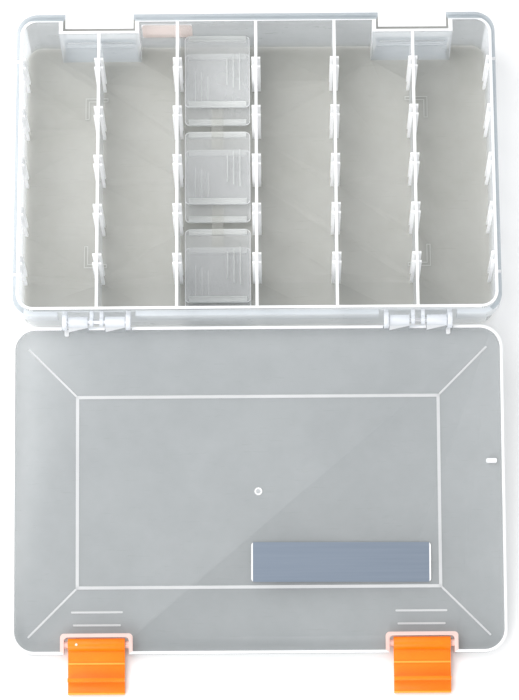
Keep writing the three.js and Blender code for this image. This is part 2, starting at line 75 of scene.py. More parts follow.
# ---------------------------------------------------------------- camera, floor and light
def look_from_above():
    """Long lens almost over the box, leaning a little to the lid's end."""
    distance = 1.81421
    aim = Vector((0.001, -0.1015, 0.0))
    roll, lean, yaw = 1.4934, -16.526, -1.1378    # degrees
    turn = (Matrix.Rotation(math.radians(roll), 3, "Z")
            @ Matrix.Rotation(math.radians(lean), 3, "X")
            @ Matrix.Rotation(math.radians(yaw), 3, "Z"))
    to_world = turn.transposed()
    camera_data = bpy.data.cameras.new("camera")
    camera_data.sensor_fit = "HORIZONTAL"
    camera_data.sensor_width = 36
    camera_data.lens = 216.7
    camera_data.clip_start, camera_data.clip_end = 0.05, 20
    camera = bpy.data.objects.new("camera", camera_data)
    camera.matrix_world = Matrix.Translation(aim + to_world @ Vector((0, 0, distance))) @ to_world.to_4x4()
    bpy.context.scene.collection.objects.link(camera)
    bpy.context.scene.camera = camera


def soft_box(name, place, aim, width, length, power):
    """Rectangular lamp turned to its aim, its power in watts."""
    light = bpy.data.lights.new(name, "AREA")
    light.shape = "RECTANGLE"
    light.size, light.size_y = width, length
    light.energy = power
    lamp = bpy.data.objects.new(name, light)
    lamp.location = place
    lamp.rotation_euler = (Vector(aim) - Vector(place)).to_track_quat("-Z", "Y").to_euler()
    bpy.context.scene.collection.objects.link(lamp)


def studio():
    """Even pale surroundings, two lamps and a white table just under the feet."""
    table_size, table_drop = 8, 0.02 * MM
    scene = bpy.context.scene
    scene.view_settings.view_transform = "Standard"
    world = bpy.data.worlds.new("studio")
    scene.world = world
    world.use_nodes = True
    background = world.node_tree.nodes["Background"]
    background.inputs["Color"].default_value = (0.985, 0.99, 1.0, 1)
    background.inputs["Strength"].default_value = 0.80
    soft_box("key_light", (-0.52, 0.25, 0.9), (-0.05, -0.05, 0), width=0.9, length=1.2, power=8.5)
    soft_box("low_light", (-1.0, -1.7, 1.1), (0, 0, 0), width=2.0, length=1.2, power=27)
    bpy.ops.object.select_all(action="DESELECT")
    bpy.ops.mesh.primitive_plane_add(size=table_size, location=(0, 0, foot_z - table_drop))
    table = bpy.context.object
    table.name = "table_top"
    material, shader, _, _ = new_material("table_white", (0.95, 0.95, 0.95))
    shader.inputs["Roughness"].default_value = 0.9
    shader.inputs["Specular IOR Level"].default_value = 0.1
    table.data.materials.append(material)


# ---------------------------------------------------------------- materials
def new_material(name, colour):
    material = bpy.data.materials.new(name)
    material.use_nodes = True
    nodes, links = material.node_tree.nodes, material.node_tree.links
    shader = nodes["Principled BSDF"]
    shader.inputs["Base Color"].default_value = (*colour, 1)
    return material, shader, nodes, links


def pattern(nodes, links, scale, stretch=(1, 1, 1), detail=3, roughness=0.55):
    """Noise on the object's own coordinates, its grain drawn out by stretch."""
    place = nodes.new("ShaderNodeTexCoord")
    mapping = nodes.new("ShaderNodeMapping")
    mapping.inputs["Scale"].default_value = stretch
    noise = nodes.new("ShaderNodeTexNoise")
    noise.inputs["Scale"].default_value = scale
    noise.inputs["Detail"].default_value = detail
    noise.inputs["Roughness"].default_value = roughness
    links.new(place.outputs["Object"], mapping.inputs["Vector"])
    links.new(mapping.outputs["Vector"], noise.inputs["Vector"])
    return noise.outputs["Fac"]


def levels(nodes, links, value, low, high, to_low, to_high):
    span = nodes.new("ShaderNodeMapRange")
    for socket, number in zip(("From Min", "From Max", "To Min", "To Max"), (low, high, to_low, to_high)):
        span.inputs[socket].default_value = number
    links.new(value, span.inputs["Value"])
    return span.outputs["Result"]


def blend_colours(nodes, links, value, first, second):
    mix = nodes.new("ShaderNodeMix")
    mix.data_type = "RGBA"
    mix.inputs[6].default_value = (*first, 1)
    mix.inputs[7].default_value = (*second, 1)
    links.new(value, mix.inputs[0])
    return mix.outputs[2]


def relief(nodes, links, shader, height, strength, depth):
    bump = nodes.new("ShaderNodeBump")
    bump.inputs["Strength"].default_value = strength
    bump.inputs["Distance"].default_value = depth
    links.new(height, bump.inputs["Height"])
    links.new(bump.outputs["Normal"], shader.inputs["Normal"])


def milky_plastic(name, dark, light, cover, through=(0.93, 0.95, 0.955), back_light=0.2, gloss=0.32):
    """Natural polypropylene: a thin milky body that the ground shows through, faintly clouded,
    with flow marks and fine handling scratches in its gloss."""
    material, shader, nodes, links = new_material(name, light)
    cloud = pattern(nodes, links, 22, detail=4)
    tone = levels(nodes, links, cloud, 0.35, 0.65, 0, 1)
    links.new(blend_colours(nodes, links, tone, dark, light), shader.inputs["Base Color"])
    scratches = pattern(nodes, links, 60, stretch=(1, 14, 3), detail=6, roughness=0.7)
    worn = levels(nodes, links, scratches, 0.3, 0.75, gloss - 0.08, gloss + 0.14)
    links.new(worn, shader.inputs["Roughness"])
    relief(nodes, links, shader, pattern(nodes, links, 340, detail=2), 0.25, 0.05 * MM)
    shader.inputs["IOR"].default_value = 1.49
    body = nodes.new("ShaderNodeMixShader")
    body.inputs[0].default_value = back_light
    glow = nodes.new("ShaderNodeBsdfTranslucent")
    glow.inputs["Color"].default_value = (*light, 1)
    links.new(shader.outputs[0], body.inputs[1])
    links.new(glow.outputs[0], body.inputs[2])
    clear = nodes.new("ShaderNodeBsdfTransparent")
    clear.inputs["Color"].default_value = (*through, 1)
    film = nodes.new("ShaderNodeMixShader")
    links.new(levels(nodes, links, cloud, 0.3, 0.7, cover - 0.03, cover + 0.03), film.inputs[0])
    links.new(clear.outputs[0], film.inputs[1])
    links.new(body.outputs[0], film.inputs[2])
    links.new(film.outputs[0], nodes["Material Output"].inputs["Surface"])
    return material


def orange_plastic(name, dark, light):
    """Solid coloured plastic, slightly worn, that light enters a little way."""
    material, shader, nodes, links = new_material(name, light)
    tone = levels(nodes, links, pattern(nodes, links, 45, detail=4), 0.3, 0.7, 0, 1)
    links.new(blend_colours(nodes, links, tone, dark, light), shader.inputs["Base Color"])
    wear = pattern(nodes, links, 90, stretch=(9, 1, 1), detail=6, roughness=0.7)
    links.new(levels(nodes, links, wear, 0.3, 0.75, 0.28, 0.48), shader.inputs["Roughness"])
    relief(nodes, links, shader, pattern(nodes, links, 700, detail=2), 0.2, 0.04 * MM)
    shader.inputs["Specular IOR Level"].default_value = 0.32
    shader.inputs["Subsurface Weight"].default_value = 0.15
    shader.inputs["Subsurface Radius"].default_value = (2.0 * MM, 0.8 * MM, 0.3 * MM)
    shader.inputs["Subsurface Scale"].default_value = 1.0
    return material


def pin_steel():
    """Drawn steel, its marks running along the pin."""
    material, shader, nodes, links = new_material("pin_steel", (0.74, 0.75, 0.77))
    shader.inputs["Metallic"].default_value = 1
    draw_marks = pattern(nodes, links, 150, stretch=(0.2, 8, 8), detail=5, roughness=0.6)
    links.new(levels(nodes, links, draw_marks, 0.3, 0.7, 0.22, 0.42), shader.inputs["Roughness"])
    tone = levels(nodes, links, draw_marks, 0.3, 0.7, 0, 1)
    colour = blend_colours(nodes, links, tone, (0.62, 0.63, 0.65), (0.82, 0.83, 0.85))
    links.new(colour, shader.inputs["Base Color"])
    return material


def silver_film():
    """Metallised grey-blue sticker with a faint brushed grain."""
    material, shader, nodes, links = new_material("silver_film", (0.20, 0.245, 0.30))
    shader.inputs["Metallic"].default_value = 0.35
    grain = pattern(nodes, links, 30, stretch=(0.4, 30, 30), detail=5, roughness=0.65)
    tone = levels(nodes, links, grain, 0.3, 0.7, 0, 1)
    colour = blend_colours(nodes, links, tone, (0.185, 0.225, 0.283), (0.21, 0.25, 0.308))
    links.new(colour, shader.inputs["Base Color"])
    links.new(levels(nodes, links, grain, 0.3, 0.7, 0.32, 0.46), shader.inputs["Roughness"])
    relief(nodes, links, shader, grain, 0.12, 0.02 * MM)
    return material


def pale_paper():
    """Thin pink paper that lets some light through."""
    material, shader, nodes, links = new_material("pink_paper", (0.97, 0.88, 0.85))
    fibre = pattern(nodes, links, 420, stretch=(1, 1, 3), detail=5, roughness=0.7)
    tone = levels(nodes, links, fibre, 0.3, 0.7, 0, 1)
    colour = blend_colours(nodes, links, tone, (0.95, 0.84, 0.81), (0.99, 0.91, 0.88))
    links.new(colour, shader.inputs["Base Color"])
    shader.inputs["Roughness"].default_value = 0.8
    relief(nodes, links, shader, fibre, 0.3, 0.03 * MM)
    thin = nodes.new("ShaderNodeMixShader")
    thin.inputs[0].default_value = 0.5
    glow = nodes.new("ShaderNodeBsdfTranslucent")
    glow.inputs["Color"].default_value = (1.0, 0.94, 0.91, 1)
    links.new(shader.outputs[0], thin.inputs[1])
    links.new(glow.outputs[0], thin.inputs[2])
    links.new(thin.outputs[0], nodes["Material Output"].inputs["Surface"])
    return material


# ---------------------------------------------------------------- working with meshes
def deselect():
    bpy.ops.object.select_all(action="DESELECT")


def activate(piece):
    deselect()
    piece.select_set(True)
    bpy.context.view_layer.objects.active = piece


def pick_faces(piece, wanted):
    """In edit mode, selects just the faces whose centre and normal are wanted."""
    bpy.ops.mesh.select_mode(type="FACE")
    bpy.ops.mesh.select_all(action="DESELECT")
    mesh = bmesh.from_edit_mesh(piece.data)
    for face in mesh.faces:
        face.select_set(bool(wanted(face.calc_center_median(), face.normal)))
    bmesh.update_edit_mesh(piece.data)


def pick_edges(piece, wanted):
    """In edit mode, selects just the edges whose two ends are wanted."""
    bpy.ops.mesh.select_mode(type="EDGE")
    bpy.ops.mesh.select_all(action="DESELECT")
    mesh = bmesh.from_edit_mesh(piece.data)
    for edge in mesh.edges:
        edge.select_set(bool(wanted(edge.verts[0].co, edge.verts[1].co)))
    bmesh.update_edit_mesh(piece.data)


def apply_modifier(piece, kind, **settings):
    activate(piece)
    modifier = piece.modifiers.new(kind.lower(), kind)
    for name, value in settings.items():
        setattr(modifier, name, value)
    bpy.ops.object.modifier_apply(modifier=modifier.name)


def soften(piece, width, segments=2, angle=35):
    apply_modifier(piece, "BEVEL", width=width, segments=segments, limit_method="ANGLE",
                   angle_limit=math.radians(angle), use_clamp_overlap=True, miter_outer="MITER_ARC")
    activate(piece)
    bpy.ops.object.shade_smooth_by_angle(angle=math.radians(angle))


def settle(piece, place=None):
    """Puts a piece's place into its mesh."""
    if place is not None:
        piece.matrix_world = place @ piece.matrix_world
        bpy.context.view_layer.update()
    activate(piece)
    bpy.ops.object.transform_apply(location=True, rotation=True, scale=True)


def block(name, low, high, place=None):
    """Rectangular blank between two corners."""
    deselect()
    low, high = Vector(low), Vector(high)
    bpy.ops.mesh.primitive_cube_add(size=1, location=(low + high) / 2)
    piece = bpy.context.object
    piece.name = piece.data.name = name
    piece.scale = high - low
    settle(piece)
    if place is not None:
        settle(piece, place)
    return piece


def join(pieces, name):
    deselect()
    for piece in pieces:
        piece.select_set(True)
    bpy.context.view_layer.objects.active = pieces[0]
    bpy.ops.object.join()
    whole = bpy.context.object
    whole.name = whole.data.name = name
    return whole


def copy_of(piece, name, place):
    """A copy with its own mesh, moved to a new place."""
    twin = bpy.data.objects.new(name, piece.data.copy())
    twin.data.name = name
    bpy.context.scene.collection.objects.link(twin)
    settle(twin, place)
    return twin


def merged_copy(node, name):
    """A working copy of a CAD node, its loose triangles merged into whole faces."""
    deselect()
    piece = bpy.data.objects.new(name, frame["nodes"][node].data.copy())
    piece.data.name = name
    piece.data.materials.clear()
    bpy.context.scene.collection.objects.link(piece)
    activate(piece)
    bpy.ops.object.mode_set(mode="EDIT")
    bpy.ops.mesh.select_mode(type="VERT")
    bpy.ops.mesh.select_all(action="SELECT")
    bpy.ops.mesh.remove_doubles(threshold=0.002 * MM)
    bpy.ops.mesh.customdata_custom_splitnormals_clear()
    bpy.ops.object.mode_set(mode="OBJECT")
    return piece


def hand_over(piece, body, slot, *nodes):
    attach(piece, body)
    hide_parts(*nodes)
    deselect()


def score(piece, wanted, spot, facing):
    """Cuts a line into the wanted faces where a plane crosses them."""
    activate(piece)
    bpy.ops.object.mode_set(mode="EDIT")
    pick_faces(piece, wanted)
    bpy.ops.mesh.bisect(plane_co=spot, plane_no=facing)
    bpy.ops.object.mode_set(mode="OBJECT")


def paint(piece, *materials):
    piece.data.materials.clear()
    for material in materials:
        piece.data.materials.append(material)


def paint_faces(piece, index, wanted):
    for face in piece.data.polygons:
        if wanted(face.center, face.normal):
            face.material_index = index


# ---------------------------------------------------------------- tray
floor_top = 1.6 * MM
clear_of_floor = 1.9 * MM          # faces above this belong to walls, ribs and fins
flange_z = 37.2 * MM               # top of the rim flange
flange_from, flange_to = 36.4 * MM, 37.6 * MM    # heights that hold the whole flange top, steps included
front_y = 88.9 * MM                # outside of the front wall
front_rim_width = 1.05 * MM
recess_half = 21.2 * MM            # half a latch recess's width
recess_back = 81.6 * MM            # outer face of a recess's back wall at the rim
recess_line_z = 28.2 * MM          # line across a recess's back wall
window_outside, window_inside = 1 * MM, 6.4 * MM    # how far the clear patches sit above the tag
slot_rows = 5
slot_pitch = 30.03 * MM
slot_shift = 1.7 * MM              # the slot rows and the stacking ridge sit this far towards the latches
slot_half = 3.4 * MM               # channel and both fins, from the slot's middle
fin_reach_out = 2.75 * MM          # from a rib's middle
ridge_half_length = 102.8 * MM     # centre lines of the stacking ridge on the lid
ridge_half_width = 54.3 * MM


def near_slot(centre):
    """On one of the fin pairs: beside a rib or an end wall, in one of the slot rows."""
    row = round((centre.y - slot_shift) / slot_pitch)
    return abs(row) <= slot_rows // 2 and abs(centre.y - slot_shift - row * slot_pitch) < slot_half


def foot_marks(line):
    """Fine outline of each L-shaped stacking foot, moulded into the floor's upper face."""
    low, high = floor_top - 0.3 * MM, floor_top + 0.06 * MM
    hair, bar, arm = 0.4 * MM, 2.3 * MM, 13.4 * MM
    inset = 1.35 * MM
    marks = []
    for sx in (-1, 1):
        for sy in (-1, 1):
            x = sx * (ridge_half_length - inset)
            y = slot_shift + sy * (ridge_half_width - inset)

            def strip(x0, y0, x1, y1):
                corners = [(x - sx * x0, y - sy * y0), (x - sx * x1, y - sy * y1)]
                (xa, xb), (ya, yb) = (sorted(pair) for pair in zip(*corners))
                marks.append(block("mark", (xa, ya, low), (xb, yb, high)))

            strip(0, 0, arm, hair)
            strip(0, 0, hair, arm)
            strip(bar - hair, bar - hair, arm, bar)
            strip(bar - hair, bar - hair, bar, arm)
            strip(arm - hair, 0, arm, bar)
            strip(0, arm - hair, bar, arm)
    whole = join(marks, "foot_marks")
    paint(whole, line)
    return whole


def flange_tabs(edge):
    """Small ties between the rim and the outer lip of the flange, two at each end of the box."""
    tabs = []
    for side in (-1, 1):
        outer, inner = side * (tray_high.x - 0.3 * MM), side * (tray_high.x - 2.6 * MM)
        for y in (64.0 * MM, -66.5 * MM):
            low = (min(outer, inner), y - 0.9 * MM, flange_z - 0.4 * MM)
            high = (max(outer, inner), y + 0.9 * MM, flange_z + 0.25 * MM)
            tab = block("tab", low, high)
            soften(tab, 0.12 * MM)
            tabs.append(tab)
    whole = join(tabs, "flange_tabs")
    paint(whole, edge)
    return whole


def recess_lines(line):
    """Moulded line across the back wall of each latch recess, above its catch, painted lighter as a painted
    highlight.
    """
    bars = []
    for side in (-1, 1):
        x, reach = side * station_x, recess_half - 2.4 * MM
        bars.append(block("line", (x - reach, 79.05 * MM, recess_line_z - 0.3 * MM),
                          (x + reach, 79.5 * MM, recess_line_z + 0.3 * MM)))
        soften(bars[-1], 0.12 * MM)
    whole = join(bars, "recess_lines")
    paint(whole, line)
    return whole


def make_tray():
    tray = merged_copy("base_tray", "tray_moulding")
    soften(tray, 0.16 * MM, segments=2)
    fins_top = rim_z - 0.8 * MM
    tag_low, tag_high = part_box("front_label")

    def off_station(centre):
        return abs(abs(centre.x) - station_x)

    def floor_face(centre, normal):
        return centre.z < clear_of_floor and abs(normal.z) > 0.5

    def recess_side(centre, normal):
        return (abs(normal.x) > 0.9
                and recess_half - 0.3 * MM < off_station(centre) < recess_half + 2.6 * MM
                and centre.y > recess_back - 4 * MM and centre.z > clear_of_floor)

    def rim_face(centre, normal):
        return centre.z > fins_top - 0.25 * MM and normal.z > 0.3

    def front_rim(centre, normal):
        return rim_face(centre, normal) and centre.y > front_y - front_rim_width

    def flange_face(centre, normal):
        return normal.z > 0.5 and flange_from < centre.z < flange_to

    def rear_flange(centre, normal):
        return flange_face(centre, normal) and centre.y < -88 * MM

    def ledge_face(centre, normal):
        return (flange_face(centre, normal) and off_station(centre) < recess_half
                and centre.y > recess_back - 1 * MM)

    def fin_face(centre, normal):
        line = round(centre.x / column_pitch) * column_pitch
        beside_rib = 0.86 * MM < abs(centre.x - line) < fin_reach_out and abs(line) < 2.5 * column_pitch
        at_end = tray_high.x - 5.8 * MM < abs(centre.x) < tray_high.x - 3.86 * MM
        return near_slot(centre) and centre.z > clear_of_floor and (beside_rib or at_end)

    def side_face(centre, normal):
        off_rib = abs(centre.x - round(centre.x / column_pitch) * column_pitch)
        return (abs(normal.x) > 0.8 and centre.z > clear_of_floor
                and (off_rib < 1 * MM or abs(centre.x) > 132 * MM))

    def hinge_face(centre, normal):
        return centre.y < -89.2 * MM and off_station(centre) < 19.6 * MM

    def rear_face(centre, normal):
        return centre.y < -86 * MM and normal.y < -0.5 and 3 * MM < centre.z < fins_top - 1 * MM

    def front_wall_face(centre, normal):
        return centre.y > 84 * MM and abs(normal.y) > 0.5 and clear_of_floor < centre.z < fins_top

    def front_inside(centre, normal):
        return (front_wall_face(centre, normal) and normal.y < 0
                and off_station(centre) > recess_half + 0.3 * MM)

    def front_outside(centre, normal):
        return front_wall_face(centre, normal) and normal.y > 0 and centre.y < front_y + 0.1 * MM

    def recess_wall(centre, normal):
        return (abs(normal.y) > 0.5 and off_station(centre) < recess_half and 76 * MM < centre.y < 82 * MM
                and clear_of_floor < centre.z < fins_top)

    def recess_low(centre, normal):
        return recess_wall(centre, normal) and centre.z < recess_line_z

    def tag_window(centre, normal):
        lift = window_inside if normal.y < 0 else window_outside
        return ((front_inside(centre, normal) or front_outside(centre, normal))
                and tag_low.x < centre.x < tag_high.x and tag_low.z < centre.z - lift < tag_high.z)

    score(tray, rim_face, (0, front_y - front_rim_width, 0), (0, 1, 0))
    for x in (tag_low.x, tag_high.x):
        score(tray, front_wall_face, (x, 0, 0), (1, 0, 0))
    for z in (tag_low.z, tag_high.z):
        score(tray, front_outside, (0, 0, z + window_outside), (0, 0, 1))
        score(tray, front_inside, (0, 0, z + window_inside), (0, 0, 1))
    score(tray, recess_wall, (0, 0, recess_line_z), (0, 0, 1))
    activate(tray)
    bpy.ops.object.shade_smooth_by_angle(angle=math.radians(35))
    # the first finish is for every face that no other one claims, and a later one wins over an earlier one
    finishes = (
        (tray_wall, lambda centre, normal: False),
        (tray_floor, floor_face),
        # rib sides and end walls: painted fill light over their shade
        (side_painted_fill, side_face),
        # slot fins: painted glow
        (fin_painted_glow, fin_face),
        # rear wall's outer face: painted light over the lid's shadow
        (rear_wall_painted_light, rear_face),
        # front wall's inner faces: painted shade
        (front_wall_painted_shade, front_inside),
        (recess_grey, recess_low),
        (flange_top, flange_face),
        (rear_shelf, rear_flange),
        # rims and recess sides: painted glow and highlight
        (edge_painted_glow, lambda centre, normal: rim_face(centre, normal) or recess_side(centre, normal)),
        (front_edge, front_rim),
        # ledge in each latch recess: painted shadow
        (ledge_painted_shadow, ledge_face),
        (tag_clear, tag_window),
        (hinge_white, hinge_face),
    )
    paint(tray, *(material for material, wanted in finishes))
    for index, (material, wanted) in enumerate(finishes):
        paint_faces(tray, index, wanted)
    # the flange tabs take the painted edge glow, the recess lines the painted ridge highlight
    added = [foot_marks(faint_line), flange_tabs(edge_painted_glow), recess_lines(raised_line_highlight)]
    whole = join([tray, *added], "tray_moulding")
    hand_over(whole, "tray", "clear_plastic", "base_tray")


# ---------------------------------------------------------------- lid, in its shut place about the hinge
lid_edge_h = 1.5 * MM              # skirt's edge above the hinge axis
lid_inner_h = 6.9 * MM
lid_front_v = 188.7 * MM
ridge_middle_v = slot_shift - hinge.y


def strip_between(start, end, width, low, high):
    """Straight raised bar between two points of the lid, its ends rounded."""
    run = Vector(end) - Vector(start)
    bar = block("bar", (-width / 2, -width / 2, low), (run.length + width / 2, width / 2, high))
    activate(bar)
    bpy.ops.object.mode_set(mode="EDIT")
    pick_edges(bar, lambda a, b: abs(a.x - b.x) < 1e-7 and abs(a.y - b.y) < 1e-7)
    bpy.ops.mesh.bevel(offset=width * 0.42, segments=3)
    bpy.ops.object.mode_set(mode="OBJECT")
    turn = Matrix.Rotation(math.atan2(run.y, run.x), 4, "Z")
    settle(bar, Matrix.Translation((start[0], start[1], 0)) @ turn)
    return bar


def lid_lines(line):
    """The stacking ridge, its four creases and the grip ridges: real ridges, painted much lighter than the
    panel as a painted highlight so they show bright through it.
    """
    ridge, crease = 1.8 * MM, 1.1 * MM
    low, high = lid_inner_h - 0.05 * MM, lid_inner_h + 0.5 * MM
    crease_run = 27.6 * MM
    bars = []
    near, far = ridge_middle_v - ridge_half_width, ridge_middle_v + ridge_half_width
    x = ridge_half_length
    for v in (near, far):
        bars.append(strip_between((-x, v), (x, v), ridge, low, high))
        for side in (-1, 1):
            away = crease_run if v == far else -crease_run
            start = (side * (x + 0.9 * MM), v + math.copysign(0.9 * MM, away))
            end = (side * (x + crease_run), v + away)
            bars.append(strip_between(start, end, crease, low, high))
    for side in (-1, 1):
        bars.append(strip_between((side * x, near), (side * x, far), ridge, low, high))
        for from_edge, length in ((16.6 * MM, 26 * MM), (23.9 * MM, 28.2 * MM)):
            v = lid_front_v - from_edge
            start, end = side * station_x - length / 2, side * station_x + length / 2
            bars.append(strip_between((start, v), (end, v), crease, low, high))
    whole = join(bars, "lid_lines")
    paint(whole, line)
    return whole


def gate_mark(line):
    """Round scar of the moulding gate in the middle of the panel, with a raised lip."""
    deselect()
    bpy.ops.mesh.primitive_cylinder_add(vertices=32, radius=2.2 * MM, depth=0.5 * MM,
                                        location=(0, ridge_middle_v, lid_inner_h + 0.15 * MM))
    scar = bpy.context.object
    activate(scar)
    bpy.ops.object.mode_set(mode="EDIT")
    pick_faces(scar, lambda centre, normal: normal.z < -0.9)
    bpy.ops.mesh.inset(thickness=0.7 * MM, depth=0)
    bpy.ops.mesh.inset(thickness=0.5 * MM, depth=-0.25 * MM)
    bpy.ops.object.mode_set(mode="OBJECT")
    settle(scar)
    paint(scar, line)
    return scar


def lid_nubs(edge):
    """The shut-stop tab on the right skirt and a small ear beside each outer hinge plate."""
    low = lid_inner_h - 2.2 * MM
    tab = block("tab", (129.6 * MM, 78.9 * MM, low), (135.6 * MM, 81.5 * MM, lid_inner_h + 0.2 * MM))
    ears = []
    for side in (-1, 1):
        x = side * (station_x + 17.4 * MM)
        ears.append(block("ear", (x - 1.2 * MM, 3.4 * MM, lid_inner_h - 1.4 * MM),
                          (x + 1.2 * MM, 7.2 * MM, lid_inner_h)))
    for piece in (tab, *ears):
        activate(piece)
        bpy.ops.object.mode_set(mode="EDIT")
        pick_edges(piece, lambda a, b: abs(a.z - b.z) > 1 * MM)
        bpy.ops.mesh.bevel(offset=0.7 * MM, segments=3)
        bpy.ops.object.mode_set(mode="OBJECT")
    whole = join([tab, *ears], "nubs")
    paint(whole, edge)
    return whole


def make_lid():
    lid = merged_copy("lid", "lid_moulding")
    soften(lid, 0.16 * MM, segments=2)
    paint(lid, lid_panel, edge_painted_glow, rosy_edge, hinge_white)
    to_shut = LID.inverted()
    turn = to_shut.to_3x3()

    def shut(centre, normal):
        return to_shut @ centre, turn @ normal

    def skirt_edge(centre, normal):
        spot, facing = shut(centre, normal)
        return spot.z < lid_edge_h + 0.25 * MM and facing.z < -0.3

    def knuckle(centre, normal):
        spot, _ = shut(centre, normal)
        return spot.y < 3.6 * MM and min(abs(spot.x - station_x), abs(spot.x + station_x)) < 17 * MM

    def notch(centre, normal):
        spot, _ = shut(centre, normal)
        off = min(abs(spot.x - station_x), abs(spot.x + station_x))
        return off < 21.5 * MM and spot.y > 173 * MM and spot.z < lid_inner_h - 0.1 * MM

    # skirt edge: painted glow and highlight
    paint_faces(lid, 1, skirt_edge)
    paint_faces(lid, 3, knuckle)
    paint_faces(lid, 2, notch)
    # the ridges take the painted ridge highlight, the gate scar and nubs the painted edge glow
    added = join([lid_lines(raised_line_highlight), gate_mark(edge_painted_glow), lid_nubs(edge_painted_glow)], "added")
    settle(added, LID)
    whole = join([lid, added], "lid_moulding")
    hand_over(whole, "lid", "clear_plastic", "lid")


# ---------------------------------------------------------------- dividers
divider_length = 43.63 * MM
divider_height = 38.3 * MM
divider_panel = 1.2 * MM
bead = 3.3 * MM                    # square bead that drops into a slot
bead_length = 34 * MM


def divider_blank(film, edge, line):
    """One divider lying flat about the origin: height along X, length along Y, scale marks upward."""
    half = divider_length / 2
    panel = block("panel", (-divider_height / 2, -half, -divider_panel / 2),
                  (divider_height / 2, half, divider_panel / 2))
    activate(panel)
    bpy.ops.object.mode_set(mode="EDIT")
    pick_edges(panel, lambda a, b: abs(a.z - b.z) > 0.5 * MM)
    bpy.ops.mesh.bevel(offset=2.6 * MM, segments=6)
    bpy.ops.object.mode_set(mode="OBJECT")
    paint(panel, film, edge)
    panel.data.materials.append(line)
    paint_faces(panel, 1, lambda centre, normal: abs(normal.z) < 0.5)
    apply_modifier(panel, "BEVEL", width=0.3 * MM, segments=2, limit_method="ANGLE",
                   angle_limit=math.radians(60), material=1)
    parts = [panel]
    for end in (-1, 1):
        y = sorted((end * half, end * (half - bead)))
        bar = block("bead", (-bead_length / 2, y[0], -bead / 2), (bead_length / 2, y[1], bead / 2))
        activate(bar)
        bpy.ops.object.mode_set(mode="EDIT")
        pick_faces(bar, lambda centre, normal: abs(normal.z) > 0.9)
        bpy.ops.mesh.inset(thickness=0.75 * MM, depth=0)
        bpy.ops.mesh.inset(thickness=0.15 * MM, depth=-0.35 * MM)
        bpy.ops.object.mode_set(mode="OBJECT")
        paint(bar, line, edge)
        soften(bar, 0.12 * MM)
        parts.append(bar)
    for x, reach in zip((5.7 * MM, 9.4 * MM, 13.1 * MM), (8.2 * MM, 10.1 * MM, 11.35 * MM)):
        mark = block("mark", (x - 0.3 * MM, -reach, 0),
                     (x + 0.3 * MM, reach, divider_panel / 2 + 0.22 * MM))
        paint(mark, line)
        soften(mark, 0.1 * MM)
        parts.append(mark)
    return join(parts, "divider_blank")


def box_middle(node):
    low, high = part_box(node)
    return (low + high) / 2


def make_dividers():
    rear, front = box_middle("divider_6"), box_middle("divider_2")
    tilt = Matrix.Rotation(math.atan2(front.z - rear.z, front.y - rear.y), 4, "X")
    # the divider panels' edges take the painted edge glow
    blank = divider_blank(divider_film, edge_painted_glow, divider_line)
    for number in range(1, 7):
        flip = Matrix.Rotation(math.pi, 4, "Z") if number % 2 == 0 else Matrix.Identity(4)
        plate = copy_of(blank, f"divider_plate_{number}",
                        Matrix.Translation(box_middle(f"divider_{number}")) @ tilt @ flip)
        hand_over(plate, "divider_pack", "divider_plastic", f"divider_{number}")
    bpy.data.objects.remove(blank)


# ---------------------------------------------------------------- latches
latch_half = 16 * MM


def stiffener_face(centre, normal):
    """The raised rib across the inner face of a latch, the bead above its hook and its lower edge, which
    get the lighter orange as a painted highlight.
    """
    on_rib = abs(centre.z + 10.7 * MM) < 0.75 * MM and centre.y < -0.7 * MM
    return on_rib or (centre.z < -27.2 * MM and centre.y < 0.4 * MM)


def ejector_dot():
    deselect()
    bpy.ops.mesh.primitive_cylinder_add(vertices=20, radius=0.75 * MM, depth=0.5 * MM,
                                        location=(-11.2 * MM, -3.66 * MM, 0),
                                        rotation=(math.pi / 2, 0, 0))
    dot = bpy.context.object
    settle(dot)
    soften(dot, 0.1 * MM)
    paint(dot, gate_spot)
    return dot


def make_latches():
    """The snap latches with their edges broken and grip lines outside, the rib, bead and lower edge inside
    painted lighter orange as a highlight; the left one has an ejector dot.
    """
    for side, pivot in (("left", pivot_left), ("right", pivot_right)):
        place = latch_place(pivot)
        latch = merged_copy(f"latch_{side}", f"latch_clip_{side}")
        settle(latch, place.inverted())
        soften(latch, 0.3 * MM, segments=3)
        extras = []
        for step in range(5):
            z = (-21.5 - 1.25 * step) * MM
            extras.append(block("grip", (-latch_half + 2 * MM, 1.2 * MM, z - 0.3 * MM),
                                (latch_half - 2 * MM, 1.95 * MM, z + 0.3 * MM)))
        for piece in extras:
            soften(piece, 0.12 * MM)
        whole = join([latch, *extras], f"latch_clip_{side}")
        # rib, bead and lower edge: painted highlight
        paint(whole, orange, orange_painted_highlight)
        paint_faces(whole, 1, stiffener_face)
        if side == "left":
            whole = join([whole, ejector_dot()], f"latch_clip_{side}")
        settle(whole, place)
        hand_over(whole, f"latch_{side}", "orange_plastic", f"latch_{side}")


# ---------------------------------------------------------------- stickers
def sticker_blank(name, size, radius, material, rim, rim_width):
    """Thin plate about the origin with round corners, its long direction on X, with pale end strips; on the
    lid label these are the white cut edge with a painted highlight where its ends curl.
    """
    length, width, thick = size
    plate = block(name, (-length / 2, -width / 2, -thick / 2), (length / 2, width / 2, thick / 2))
    activate(plate)
    bpy.ops.object.mode_set(mode="EDIT")
    pick_edges(plate, lambda a, b: abs(a.x - b.x) < 1e-7 and abs(a.y - b.y) < 1e-7)
    bpy.ops.mesh.bevel(offset=radius, segments=5)
    for side in (-1, 1):
        bpy.ops.mesh.select_all(action="SELECT")
        bpy.ops.mesh.bisect(plane_co=(side * (length / 2 - rim_width), 0, 0), plane_no=(1, 0, 0))
    bpy.ops.object.mode_set(mode="OBJECT")
    paint(plate, material, rim)
    paint_faces(plate, 1, lambda centre, normal: abs(centre.x) > length / 2 - rim_width)
    return plate


